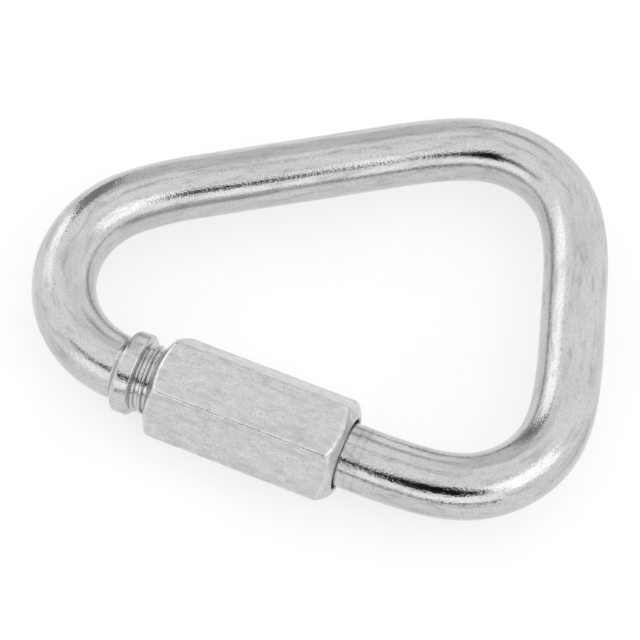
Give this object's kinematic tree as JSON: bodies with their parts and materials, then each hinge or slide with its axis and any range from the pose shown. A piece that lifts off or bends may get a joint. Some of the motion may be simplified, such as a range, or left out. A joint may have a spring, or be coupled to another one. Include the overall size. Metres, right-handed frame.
{
  "type": "screw lock quick link",
  "caption": "Delta screw-lock link: a round steel bar bent into a triangle, with a hexagonal sleeve nut that screws along one side to open or lock the gate gap.",
  "frame": {"origin": "middle of the bent bar's box, in the plane of the bar's centre line", "axes": "+X along the link's centre line from the narrow apex bend to the base, +Y towards the plain long side (the gated side is on -Y), +Z square to the link's plane"},
  "size_m": [0.0706, 0.055, 0.0124],
  "materials": {
    "bar_zinc": "bright zinc plate over drawn bar",
    "nut_zinc": "satin zinc plate"
  },
  "bodies": {
    "link": {"link_bar": "bar_zinc"},
    "nut_carrier": {"nut_bore_liner": "nut_zinc"},
    "nut": {"lock_nut": "nut_zinc"}
  },
  "joints": [
    {"name": "nut_travel", "type": "slide", "parent": "link", "child": "nut_carrier", "axis": [0.9578, -0.2874, 0], "range_m": [-0.0018, 0.0095]},
    {"name": "nut_spin", "type": "hinge", "parent": "nut_carrier", "child": "nut", "pos_m": [-0.0061, -0.01731, 0], "axis": [0.9578, -0.2874, 0], "range_deg": [-648, 3420]}
  ],
  "couplings": [
    {"joint": "nut_travel", "follows": "nut_spin", "m_per_rad": 0.00015915}
  ]
}
